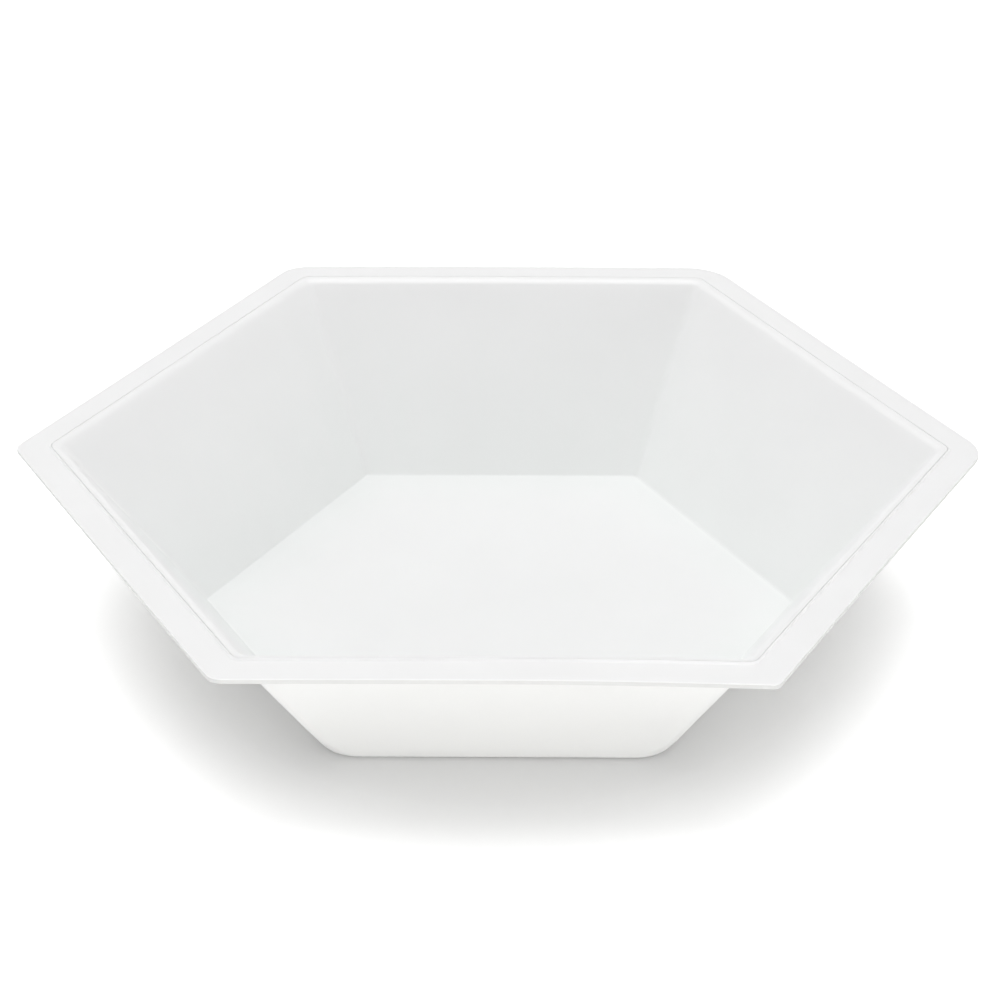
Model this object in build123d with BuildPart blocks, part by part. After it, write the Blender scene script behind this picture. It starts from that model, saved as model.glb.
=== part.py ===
"""Hexagonal weighing boat: a shallow dish formed in one piece from thin polystyrene sheet.

A flat rim, trimmed to a hexagon, meets a low raised lip, which rolls over into six sloping walls
and a flat floor.
Millimetres. The origin is the centre of the underside, +Z is up and +X points at a rim corner.
"""

import os
from math import atan, cos, pi, tan

from build123d import *

# Driving dimensions of the rim
rim_across_corners = 92.0  # between opposite corners, before they are rounded
rim_corner_radii = (4.0, 5.0, 3.0, 1.5, 1.5, 1.2)  # anticlockwise from +X: the trim is uneven
rim_width = 3.7  # from the cut edge to where the plane of a wall meets that of the rim
cut_edge_radius = 0.1  # softened upper edge of the cut

# Driving dimensions of the lip that stands round the mouth
lip_rise = 0.2  # above the rim
lip_radius = 1.0  # top of the sheet, where it rolls from the lip into a wall
lip_crest = 0.1  # level strip on top
lip_foot_radius = 0.15  # bend between the rim and the outer side of the lip

# Driving dimensions of the dish
height = 18.4  # underside to the top of the lip
sheet = 0.6  # thickness of the rim and the walls
floor_thickness = 0.8  # the floor is drawn less than the walls, and stays thicker
floor_across_corners = 57.6  # between opposite inside corners, before they are rounded
mouth_corner_radius = 1.2  # inside corner between two walls, at the lip
floor_corner_radius = 0.7  # inside corner between two walls, at the floor
floor_edge_radius = 0.4  # top of the sheet, where a wall turns into the floor

# Sizes that follow from them
sides = 6
corner_to_flat = cos(pi / sides)  # half width over the flats, as a share of that over the corners
rim_apothem = rim_across_corners / 2 * corner_to_flat
floor_apothem = floor_across_corners / 2 * corner_to_flat
rim_top = height - lip_rise
rim_underside = rim_top - sheet
wall_run = (rim_apothem - rim_width - floor_apothem) / (rim_top - floor_thickness)  # for 1 mm of rise
lean = atan(wall_run)  # of a wall, from upright
level_sheet = sheet / cos(lean)  # the sheet of a wall, measured level
mouth_apothem = floor_apothem + wall_run * (height - floor_thickness)
crest_apothem = mouth_apothem + lip_radius * tan((pi / 2 - lean) / 2) + lip_crest
underside_apothem = floor_apothem - floor_thickness * wall_run + level_sheet
throat_apothem = underside_apothem + wall_run * rim_underside


def rounded_hexagon(apothem, corner_radius):
    """Adds a hexagon with a corner on the X axis, all corners rounded alike, to the open sketch."""
    RegularPolygon(apothem, sides, major_radius=False)
    fillet(vertices(), corner_radius)


with BuildPart() as weighing_boat:
    # Rim: a flat hexagon of sheet, whose corners the trimming has rounded unequally
    with BuildSketch(Plane.XY.offset(rim_underside)) as rim_outline:
        RegularPolygon(rim_across_corners / 2, sides)
        for place, radius in enumerate(rim_corner_radii):
            corner = Vector(rim_across_corners / 2, 0).rotate(Axis.Z, place * 360 / sides)
            fillet(rim_outline.vertices().sort_by_distance(corner)[0], radius)
    extrude(amount=sheet)

    # Underneath: six walls slope out from the heel to the rim, which they meet in a soft bend
    with BuildSketch(Plane.XY) as underside:
        rounded_hexagon(underside_apothem, floor_corner_radius + sheet)
    with BuildSketch(Plane.XY.offset(rim_underside)) as throat:
        rounded_hexagon(throat_apothem, mouth_corner_radius + sheet)
    loft(ruled=True)
    fillet(edges(Select.LAST).group_by(Axis.Z)[-1], lip_radius - sheet)
    fillet(faces().sort_by(Axis.Z)[0].edges(), floor_edge_radius + sheet)

    # Lip: a low bank all round the mouth, as wide on top as the roll into the walls needs
    with BuildSketch(Plane.XY.offset(rim_top)) as lip_foot:
        rounded_hexagon(crest_apothem + lip_rise, mouth_corner_radius + lip_radius)
    with BuildSketch(Plane.XY.offset(height)) as lip_top:
        rounded_hexagon(crest_apothem, mouth_corner_radius + lip_radius)
    loft(ruled=True)
    fillet(edges(Select.LAST).group_by(Axis.Z)[0], lip_foot_radius)

    # On top: the same walls one sheet further in, from the rolled lip down to the floor
    with BuildSketch(Plane.XY.offset(floor_thickness)) as floor_outline:
        rounded_hexagon(floor_apothem, floor_corner_radius)
    with BuildSketch(Plane.XY.offset(height)) as mouth:
        rounded_hexagon(mouth_apothem, mouth_corner_radius)
    loft(ruled=True, mode=Mode.SUBTRACT)
    hollow = edges(Select.LAST).group_by(Axis.Z)
    fillet(hollow[-1], lip_radius)
    floor_edge = edges().filter_by_position(Axis.Z, floor_thickness, floor_thickness)
    fillet(floor_edge, floor_edge_radius)
    fillet(faces().filter_by_position(Axis.Z, rim_top, rim_top)[0].outer_wire().edges(), cut_edge_radius)

weighing_boat.part.label = "weighing_boat"
os.makedirs("parts", exist_ok=True)
export_step(weighing_boat.part, "parts/weighing_boat.step")
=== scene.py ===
"""A hexagonal weighing boat of white polystyrene on a white bench.

Metres. The boat stands on Z = 0 with its middle on the Z axis, and +X points at a rim corner. It is
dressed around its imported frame, which gives its height and width.
"""

import bpy
import numpy as np
from mathutils import Matrix, Vector


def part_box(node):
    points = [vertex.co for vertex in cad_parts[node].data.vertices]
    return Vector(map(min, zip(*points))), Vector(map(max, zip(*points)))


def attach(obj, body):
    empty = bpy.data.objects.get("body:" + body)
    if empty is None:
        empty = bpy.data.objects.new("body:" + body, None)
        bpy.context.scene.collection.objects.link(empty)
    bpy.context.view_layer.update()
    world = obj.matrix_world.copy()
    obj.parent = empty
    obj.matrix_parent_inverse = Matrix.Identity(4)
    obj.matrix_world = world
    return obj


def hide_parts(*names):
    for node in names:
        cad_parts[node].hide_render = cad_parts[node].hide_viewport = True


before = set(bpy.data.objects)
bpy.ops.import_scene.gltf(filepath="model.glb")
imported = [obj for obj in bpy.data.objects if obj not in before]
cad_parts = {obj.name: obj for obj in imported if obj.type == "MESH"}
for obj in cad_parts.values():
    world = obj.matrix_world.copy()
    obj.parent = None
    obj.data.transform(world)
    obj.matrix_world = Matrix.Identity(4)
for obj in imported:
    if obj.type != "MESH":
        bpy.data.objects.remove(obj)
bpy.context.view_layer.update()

# The boat
# One sheet of white high-impact polystyrene, heated, drawn into a hexagonal mould and trimmed.
# The sheet follows the mould, so every bend is soft, and the cooled rim is not quite flat.

MM = 0.001
low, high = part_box("weighing_boat")
height = high.z  # underside to the top of the lip
rim_apothem = high.y  # centre of the boat to the middle of a side of the rim
sheet = 0.6 * MM  # thickness of the rim and the walls
cut_thickness = 0.42 * MM  # of the rim at its edge, where the shears have pinched it
pinch_start = 1.5 * MM  # outside the walls, where the rim's underside starts to rise to that edge
pinch_radius = 1.0 * MM  # of that bend
floor_thickness = 0.8 * MM
floor_across_corners = 57.6 * MM  # inside, before they are rounded
rim_width = 3.7 * MM  # from the cut edge to where the plane of a wall meets that of the rim
lip_rise = 0.2 * MM  # of the lip above the rim
lip_radius = 1.25 * MM  # top of the sheet, from the lip down into a wall
lip_crest = 0.05 * MM  # level strip on top of the lip
lip_bank = 0.1 * MM  # how far the outer side of the lip leans out
crest_radius = 0.1 * MM  # from that strip to the outer side of the lip
lip_foot_radius = 0.12 * MM  # from the outer side of the lip to the rim
cut_edge_radius = 0.08 * MM
floor_edge_radius = 0.25 * MM  # top of the sheet, from a wall to the floor
heel_radius = 0.9 * MM  # under the sheet, from a wall to the underside
heel_corner_radius = 3.8 * MM  # in plan, where the draw has thinned the three-sided corners
heel_fade = 2 * MM  # outwards from the heel, where its corners turn into those of the walls
throat_radius = 0.6 * MM  # under the sheet, from a wall to the rim
mouth_corner_radius = 1.2 * MM  # in plan, of the walls and the lip
floor_corner_radius = 0.7 * MM  # in plan, of the walls at the floor
outline_radii = np.array([4.0, 5.0, 3.0, 1.5, 1.5, 0.8]) * MM  # in plan, anticlockwise from +X
cooling_droop = 0.37 * MM  # of the rim's two corners on the X axis
shear_droop = 0.3 * MM  # of the corner where the shears left the sheet
shear_reach = 0.22  # how far in from that corner it bends, as a share of the way to the middle
CORNERS = 6
HALF_CORNER = np.pi / CORNERS  # angle from the ray through a corner to the middle of a side
STEPS_ON_CORNER = 12
STEPS_ON_SIDE = 30
LONGEST_STEP = 1.5 * MM  # along the section, between rings

# Heights and apothems that follow from them; an apothem runs from the middle to that of a side
rim_top = height - lip_rise
floor_apothem = floor_across_corners / 2 * np.cos(HALF_CORNER)
wall_run = (rim_apothem - rim_width - floor_apothem) / (rim_top - floor_thickness)
steepness = np.arctan(1 / wall_run)
mouth_apothem = floor_apothem + wall_run * (height - floor_thickness)
crest_apothem = mouth_apothem + lip_radius * np.tan(steepness / 2) + lip_crest
heel_apothem = floor_apothem - floor_thickness * wall_run + sheet * np.hypot(1, wall_run)
throat_apothem = heel_apothem + wall_run * (rim_top - sheet)


def softened(path, radii, steps=10):
    """A path whose inner corners are arcs tangent to both legs.

    An arc of radius r at a corner that turns by an angle t starts r * tan(t / 2) before the corner,
    and its points are the centre plus r times a direction that turns evenly through t.
    """
    path = np.array(path, float)
    points = [path[:1]]
    for before, corner, after, radius in zip(path[:-2], path[1:-1], path[2:], radii):
        inward = (corner - before) / np.linalg.norm(corner - before)
        outward = (after - corner) / np.linalg.norm(after - corner)
        side = np.sign(inward[0] * outward[1] - inward[1] * outward[0])
        turn = np.arccos(np.clip(inward @ outward, -1, 1))
        normal = side * np.array([-inward[1], inward[0]])
        centre = corner - inward * radius * np.tan(turn / 2) + normal * radius
        angle = np.linspace(0, turn, steps + 1)[:, None]
        points.append(centre - radius * (normal * np.cos(angle) - inward * np.sin(angle)))
    points.append(path[-1:])
    return np.concatenate(points)


def spread_out(path, longest):
    """The same path with points added evenly on each leg that is longer than the longest step."""
    pieces = []
    for start, end in zip(path[:-1], path[1:]):
        count = max(1, int(np.ceil(np.linalg.norm(end - start) / longest)))
        pieces.append(start + (end - start) * (np.arange(count) / count)[:, None])
    return np.concatenate(pieces + [path[-1:]])


def corner_radii(apothems, places, radii):
    """The radius in plan of all six corners of each ring.

    It runs evenly between the radii given at some places, the same for all corners, and from the
    last place out to the cut it turns into each corner's own radius in the outline.
    """
    alike = np.interp(apothems, places, radii)
    share = np.clip((apothems - places[-1]) / (rim_apothem - places[-1]), 0, 1)
    return alike[:, None] + share[:, None] * (outline_radii - radii[-1])


def hexagon_rings(apothem, radii, z):
    """Rings of a rounded hexagon, one for each entry of the arrays, as (ring, point, xyz).

    A corner's arc has its centre on the corner's ray, (apothem - radius) / cos 30 from the middle,
    and spans 30 degrees to each side of that ray. A side joins the end of one arc to the next.
    """
    ray = np.arange(CORNERS) * 2 * np.pi / CORNERS
    arc = np.linspace(-HALF_CORNER, HALF_CORNER, STEPS_ON_CORNER + 1)
    share = np.arange(1, STEPS_ON_SIDE) / STEPS_ON_SIDE
    swing = np.concatenate([arc, np.full(len(share), HALF_CORNER)])
    along = np.tile(np.concatenate([np.zeros(len(arc)), share]), CORNERS)[:, None]
    facing = (ray[:, None] + swing[None, :]).ravel()
    here = np.repeat(np.arange(CORNERS), len(swing))
    there = (here + 1) % CORNERS

    def on_arc(corner):
        reach = (apothem[:, None] - radii) / np.cos(HALF_CORNER)
        x = reach[:, corner] * np.cos(ray[corner]) + radii[:, corner] * np.cos(facing)
        y = reach[:, corner] * np.sin(ray[corner]) + radii[:, corner] * np.sin(facing)
        return np.stack([x, y], axis=-1)

    level = (1 - along) * on_arc(here) + along * on_arc(there)
    tall = np.broadcast_to(z[:, None, None], level.shape[:2] + (1,))
    return np.concatenate([level, tall], axis=-1)


# The section on top, from the middle of the floor to half way down the cut edge
top = softened(
    [(0, floor_thickness), (floor_apothem, floor_thickness), (mouth_apothem, height),
     (crest_apothem, height), (crest_apothem + lip_bank, rim_top), (rim_apothem, rim_top),
     (rim_apothem, rim_top - cut_thickness / 2)],
    [floor_edge_radius, lip_radius, crest_radius, lip_foot_radius, cut_edge_radius],
)
top = spread_out(top, LONGEST_STEP)
top_radii = corner_radii(
    top[:, 0],
    [0, floor_apothem / 3, floor_apothem * 0.98, mouth_apothem, crest_apothem + lip_bank],
    [0, floor_apothem / 4, floor_corner_radius, mouth_corner_radius, mouth_corner_radius],
)

# The section underneath, from there back in to the middle
under = softened(
    [(rim_apothem, rim_top - cut_thickness / 2), (rim_apothem, rim_top - cut_thickness),
     (throat_apothem + pinch_start, rim_top - sheet), (throat_apothem, rim_top - sheet),
     (heel_apothem, 0), (0, 0)],
    [cut_edge_radius / 2, pinch_radius, throat_radius, heel_radius],
)
under = spread_out(under, LONGEST_STEP)[1:]
under_radii = corner_radii(
    under[:, 0],
    [0, heel_apothem / 3, heel_apothem, heel_apothem + heel_fade, throat_apothem],
    [0, heel_apothem / 4, heel_corner_radius, floor_corner_radius + sheet,
     mouth_corner_radius + sheet],
)
section = np.concatenate([top, under])[1:-1]
radii = np.concatenate([top_radii, under_radii])[1:-1]
rings = hexagon_rings(section[:, 0], radii, section[:, 1])

# Cooling has let the rim's two corners on the X axis down and its sides up a little, and the
# shears have bent one corner of the rim down where they left it
points = rings.reshape(-1, 3)
rim_reach = rim_apothem / np.cos(HALF_CORNER)
saddle = (points[:, 0] ** 2 - points[:, 1] ** 2) / rim_reach ** 2
shear_ray = -2 * HALF_CORNER
towards_it = points[:, :2] @ [np.cos(shear_ray), np.sin(shear_ray)] / rim_reach
bent = np.clip((towards_it - (1 - shear_reach)) / shear_reach, 0, 1) ** 1.5
points[:, 2] -= (cooling_droop * saddle + shear_droop * bent) * (points[:, 2] / rim_top) ** 2

count, around = rings.shape[:2]
vertices = np.concatenate([points, [[0, 0, floor_thickness], [0, 0, 0]]])
grid = np.arange(count * around).reshape(count, around)
nxt = np.roll(grid, -1, axis=1)
quads = np.stack([grid[:-1], grid[1:], nxt[1:], nxt[:-1]], axis=-1).reshape(-1, 4)
fan_top = np.stack([np.full(around, count * around), grid[0], nxt[0]], axis=-1)
fan_under = np.stack([np.full(around, count * around + 1), nxt[-1], grid[-1]], axis=-1)
faces = quads.tolist() + fan_top.tolist() + fan_under.tolist()

mesh = bpy.data.meshes.new("weighing_boat_sheet")
mesh.from_pydata(vertices.tolist(), [], faces)
mesh.shade_smooth()

# Masks for each ring: how far the sheet was drawn, whether the shears cut it, and whether it is on
# the side that lay on the mould. With them the material paints a cool shade on the drawn sheet,
# warm light on the outer face and shade on the cut edge, besides its streaks and haze.
floor_draw = 0.3  # of the floor's middle, as a share of that of the walls
floor_draw_fade = 6 * MM  # in from the walls, over which it falls to that share
depth = np.clip((rim_top - section[:, 1]) / (rim_top - floor_thickness), 0, 1)
from_wall = np.clip((floor_apothem - section[:, 0]) / floor_draw_fade, 0, 1)
drawn = depth * (1 - (1 - floor_draw) * from_wall)
is_cut = (section[:, 0] > rim_apothem - 0.01 * MM).astype(float)
is_outer = (np.arange(count) > len(top)).astype(float)
for name, of_ring, at_middle in (
    ("drawn", drawn, (floor_draw, floor_draw)),
    ("cut", is_cut, (0, 0)),
    ("outer", is_outer, (0, 1)),
):
    values = np.append(np.repeat(of_ring, around), at_middle)
    mesh.attributes.new(name, "FLOAT", "POINT").data.foreach_set("value", values)
boat = bpy.data.objects.new("weighing_boat_sheet", mesh)
bpy.context.scene.collection.objects.link(boat)


def linear(colour):
    """An sRGB hex colour such as "#f4f4f0" as linear RGBA."""
    srgb = np.array([int(colour[k:k + 2], 16) for k in (1, 3, 5)]) / 255
    rgb = np.where(srgb <= 0.04045, srgb / 12.92, ((srgb + 0.055) / 1.055) ** 2.4)
    return (*rgb.tolist(), 1.0)


def add_node(tree, kind, settings, links=()):
    """A new node, with its properties and sockets set and its sockets linked from other nodes."""
    node = tree.nodes.new(kind)
    for name, value in settings.items():
        if isinstance(name, str) and hasattr(node, name):
            setattr(node, name, value)
        else:
            node.inputs[name].default_value = value
    for name, source in links:
        tree.links.new(source, node.inputs[name])
    return node


# High-impact polystyrene, rolled to a satin sheet and drawn hot. The eye gets a milky white that
# lets light into it and, where it is thin, through it, a soft sheen with a faint orange peel and a
# matt sheared edge. Painted into the colour are a cool shade on the walls and floor, deepest where
# the draw is deepest, for light bounced inside the dish and lost through the thinned sheet, painted
# warm light on the outer face, which lay on the mould, and painted shade on the cut edge.
rim_white = linear("#f5f5f5")
# painted cool shade for the walls and floor, for light bounced inside the dish and lost through the
# thin sheet
deep_painted_cool_shade = linear("#f3f5f4")
# painted warm light on the outer face, for the light that comes up from the bench and through the
# sheet
outer_painted_warm_light = linear("#f4f4f2")
# painted shade on the cut edge; the matt finish the shears leave is in the roughness
cut_edge_painted_shade = linear("#dcdcda")
milkiness = 0.5  # share of the light that enters the sheet before it comes back
light_depth = 0.8 * MM  # how far it spreads there
cloudiness = 9 * MM  # size of the clouds in the white, where the rubber is not evenly mixed
cloud_shade = 0.988  # brightness of the darkest cloud
cloud_depth = 0.02 * MM
streak_width = 1.6 * MM  # of the marks that the draw leaves down the walls
streak_reach = 30 * MM  # from the middle of the boat, where they are as wide as that
peel_spacing = 1.1 * MM  # of the orange peel, about twice as coarse as it is, so that it shows
peel_depth = 0.002 * MM
sheen = (0.30, 0.38)  # roughness of the clearest and of the cloudiest sheet
streak_haze = 0.08  # roughness that a streak adds
cut_haze = 0.25  # roughness that the shears leave

plastic = bpy.data.materials.new("vacuum_formed_polystyrene")
plastic.use_nodes = True
tree = plastic.node_tree
shader = tree.nodes["Principled BSDF"]
shader.inputs["IOR"].default_value = 1.59
shader.inputs["Subsurface Weight"].default_value = milkiness
shader.inputs["Subsurface Radius"].default_value = (1, 1, 1)
shader.inputs["Subsurface Scale"].default_value = light_depth
place = add_node(tree, "ShaderNodeTexCoord", {}).outputs["Object"]
drawn = add_node(tree, "ShaderNodeAttribute", {"attribute_name": "drawn"}).outputs["Fac"]
cut = add_node(tree, "ShaderNodeAttribute", {"attribute_name": "cut"}).outputs["Fac"]
outer = add_node(tree, "ShaderNodeAttribute", {"attribute_name": "outer"}).outputs["Fac"]

# Streaks run up the walls: noise over the direction from the middle, the same all the way up
level = add_node(
    tree, "ShaderNodeVectorMath", {"operation": "MULTIPLY", 1: (1, 1, 0)}, [(0, place)]
).outputs[0]
bearing = add_node(
    tree, "ShaderNodeVectorMath", {"operation": "NORMALIZE"}, [(0, level)]
).outputs[0]
streaks = add_node(
    tree, "ShaderNodeTexNoise", {"Scale": streak_reach / streak_width, "Detail": 2.0},
    [("Vector", bearing)],
).outputs[0]
clouds = add_node(
    tree, "ShaderNodeTexNoise", {"Scale": 1 / cloudiness, "Detail": 2.0, "Roughness": 0.6},
    [("Vector", place)],
).outputs[0]
peel = add_node(
    tree, "ShaderNodeTexNoise", {"Scale": 1 / peel_spacing, "Detail": 0.0}, [("Vector", place)]
).outputs[0]

streaked = add_node(
    tree, "ShaderNodeMath", {"operation": "MULTIPLY"}, [(0, drawn), (1, streaks)]
).outputs[0]
# How much painted cool shade: more where the draw is deeper, and more or less along the streaks
streaks_and_painted_shade = add_node(
    tree, "ShaderNodeMath", {"operation": "MULTIPLY_ADD", 1: 0.6}, [(0, drawn), (2, streaked)]
).outputs[0]
streaked_and_shaded_white = add_node(
    tree, "ShaderNodeMix", {"data_type": "RGBA", 6: rim_white, 7: deep_painted_cool_shade}, [(0, streaks_and_painted_shade)]
).outputs[2]
# Paints warm light on the outer face
with_painted_warm_light = add_node(
    tree, "ShaderNodeMix", {"data_type": "RGBA", 7: outer_painted_warm_light}, [(0, outer), (6, streaked_and_shaded_white)]
).outputs[2]
# Paints shade on the cut edge
with_painted_cut_shade = add_node(
    tree, "ShaderNodeMix", {"data_type": "RGBA", 7: cut_edge_painted_shade}, [(0, cut), (6, with_painted_warm_light)]
).outputs[2]
clouded = add_node(
    tree, "ShaderNodeMapRange", {"From Min": 0.3, "From Max": 0.7, "To Min": cloud_shade},
    [("Value", clouds)],
).outputs[0]
colour = add_node(
    tree, "ShaderNodeVectorMath", {"operation": "SCALE"}, [(0, with_painted_cut_shade), ("Scale", clouded)]
).outputs[0]
tree.links.new(colour, shader.inputs["Base Color"])

satin = add_node(
    tree, "ShaderNodeMapRange",
    {"From Min": 0.3, "From Max": 0.7, "To Min": sheen[0], "To Max": sheen[1]},
    [("Value", clouds)],
).outputs[0]
hazy = add_node(
    tree, "ShaderNodeMath", {"operation": "MULTIPLY_ADD", 1: streak_haze},
    [(0, streaked), (2, satin)],
).outputs[0]
dull = add_node(
    tree, "ShaderNodeMath", {"operation": "MULTIPLY_ADD", 1: cut_haze}, [(0, cut), (2, hazy)]
).outputs[0]
tree.links.new(dull, shader.inputs["Roughness"])

wavy = add_node(tree, "ShaderNodeBump", {"Distance": cloud_depth}, [("Height", clouds)])
peeled = add_node(
    tree, "ShaderNodeBump", {"Distance": peel_depth},
    [("Height", peel), ("Normal", wavy.outputs[0])],
)
tree.links.new(peeled.outputs[0], shader.inputs["Normal"])
mesh.materials.append(plastic)

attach(boat, "root")
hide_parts("weighing_boat")

# The bench
# A large white laminate top with a low white card wall round it. Where no shadow falls on them
# the camera sees plain white. The boat's shadow stays near the boat; further out a painted glow
# lightens it.

half_width = 2.0
wall_height = 0.5
corners = [(x * half_width, y * half_width, 0) for x, y in ((-1, -1), (1, -1), (1, 1), (-1, 1))]
bench_mesh = bpy.data.meshes.new("bench")
bench_mesh.from_pydata(corners, [], [(0, 1, 2, 3)])
bench = bpy.data.objects.new("bench", bench_mesh)
raised = [(x, y, wall_height) for x, y, _ in corners]
wall_mesh = bpy.data.meshes.new("card_wall")
wall_mesh.from_pydata(
    corners + raised, [], [(1, 0, 4, 5), (2, 1, 5, 6), (3, 2, 6, 7), (0, 3, 7, 4)]
)
card_wall = bpy.data.objects.new("card_wall", wall_mesh)


def seen_directly(tree):
    """1 on a ray from the camera, or one that a gloss or a clear body has sent on, and else 0."""
    ray = add_node(tree, "ShaderNodeLightPath", {}).outputs
    sent_on = add_node(
        tree, "ShaderNodeMath", {"operation": "MAXIMUM"},
        [(0, ray["Is Glossy Ray"]), (1, ray["Is Transmission Ray"])],
    )
    return add_node(
        tree, "ShaderNodeMath", {"operation": "MAXIMUM"},
        [(0, ray["Is Camera Ray"]), (1, sent_on.outputs[0])],
    ).outputs[0]


# Laminate, pressed smooth: a plain matt white. To the eye a glow makes it whiter away from the
# boat, where the lamps fall off. It starts inside the boat's shadow, so it is also painted light
# over the shadow's outer part, and the shadow keeps close to the boat.
shadow_reach = 28 * MM  # from the middle of the boat to where the whitening starts
white_reach = 50 * MM  # from the middle to where it is full
# strength of the painted glow that the camera and reflections see, which lightens the shadow's
# outer part
whitening = 0.6
laminate = bpy.data.materials.new("white_laminate")
laminate.use_nodes = True
tree = laminate.node_tree
tree.nodes.clear()
spot_on_bench = add_node(tree, "ShaderNodeTexCoord", {}).outputs["Object"]
away = add_node(
    tree, "ShaderNodeVectorMath", {"operation": "LENGTH"}, [(0, spot_on_bench)]
).outputs["Value"]
grown = add_node(
    tree, "ShaderNodeMapRange",
    {"interpolation_type": "SMOOTHSTEP", "From Min": shadow_reach, "From Max": white_reach,
     "To Max": whitening},
    [("Value", away)],
).outputs[0]
glow = add_node(
    tree, "ShaderNodeMath", {"operation": "MULTIPLY"}, [(0, grown), (1, seen_directly(tree))]
).outputs[0]
top_white = add_node(tree, "ShaderNodeBsdfDiffuse", {"Color": linear("#f7f7f7")}).outputs[0]
# The painted glow: it whitens the bench and lightens the outer part of the boat's shadow
painted_glow = add_node(
    tree, "ShaderNodeEmission", {"Color": linear("#ffffff")}, [("Strength", glow)]
).outputs[0]
lit = add_node(tree, "ShaderNodeAddShader", {}, [(0, top_white), (1, painted_glow)]).outputs[0]
add_node(tree, "ShaderNodeOutputMaterial", {}, [("Surface", lit)])
bench_mesh.materials.append(laminate)

# Card, calendered: white to the eye, and to the boat only as bright as the room behind it.
room_strength = 0.54  # 1 is white
card = bpy.data.materials.new("white_card")
card.use_nodes = True
tree = card.node_tree
tree.nodes.clear()
brightness = add_node(
    tree, "ShaderNodeMapRange", {"To Min": room_strength}, [("Value", seen_directly(tree))],
).outputs[0]
card_white = add_node(
    tree, "ShaderNodeEmission", {"Color": linear("#ffffff")}, [("Strength", brightness)]
).outputs[0]
add_node(tree, "ShaderNodeOutputMaterial", {}, [("Surface", card_white)])
wall_mesh.materials.append(card)

for piece in (bench, card_wall):
    bpy.context.scene.collection.objects.link(piece)

# The light
# A white room, a softbox overhead, weaker ones high at the back left and low on the right, and a
# long strip down on the bench in front, which opens the shadow under the rim.

room = bpy.data.worlds.new("white_room")
bpy.context.scene.world = room
room.use_nodes = True
background = room.node_tree.nodes["Background"]
background.inputs["Color"].default_value = linear("#ffffff")
background.inputs["Strength"].default_value = room_strength


def softbox(name, place, width, depth, power):
    """A rectangular area lamp at a place in metres, turned to face the boat, its power in watts."""
    data = bpy.data.lights.new(name, "AREA")
    data.shape = "RECTANGLE"
    data.size = width
    data.size_y = depth
    data.energy = power
    lamp = bpy.data.objects.new(name, data)
    lamp.location = place
    lamp.rotation_euler = (Vector((0, 0, 0.01)) - Vector(place)).to_track_quat("-Z", "Y").to_euler()
    lamp.visible_camera = False
    bpy.context.scene.collection.objects.link(lamp)


softbox("overhead_softbox", (0, 0, 0.7), 0.5, 0.5, 1.93)
softbox("back_left_softbox", (-0.4, 0.25, 0.6), 0.5, 0.5, 0.72)
softbox("right_softbox", (0.7, -0.2, 0.12), 0.5, 0.2, 0.40)
softbox("front_strip", (0, -0.5, 0.011), 0.8, 0.02, 0.88)

# The camera
# It stands 30 degrees above the bench on the -Y side, close enough for the sides to draw in
# towards the back, and looks at the middle of the mouth.

picture = 1000  # pixels across
focal_pixels = 2470.2
elevation, turn, roll = np.radians([30.058, 0.519, -0.033])
stand_off, aside, aloft = 234.04 * MM, 0.10 * MM, -5.18 * MM  # from the middle of the mouth
right = np.array([np.cos(turn), np.sin(turn), 0])
back = np.array([np.sin(turn), -np.cos(turn), np.tan(elevation)]) * np.cos(elevation)
up = np.cross(back, right)
right, up = right * np.cos(roll) + up * np.sin(roll), up * np.cos(roll) - right * np.sin(roll)
spot = back * stand_off + right * aside + up * aloft + np.array([0, 0, rim_top])
pose = np.eye(4)
pose[:3, :] = np.stack([right, up, back, spot], axis=1)
camera_data = bpy.data.cameras.new("camera")
camera_data.sensor_width = 36
camera_data.lens = focal_pixels / picture * camera_data.sensor_width
camera_data.clip_start = 0.01
camera = bpy.data.objects.new("camera", camera_data)
camera.matrix_world = Matrix(pose.tolist())
bpy.context.scene.collection.objects.link(camera)
bpy.context.scene.camera = camera
bpy.context.scene.view_settings.view_transform = "Standard"
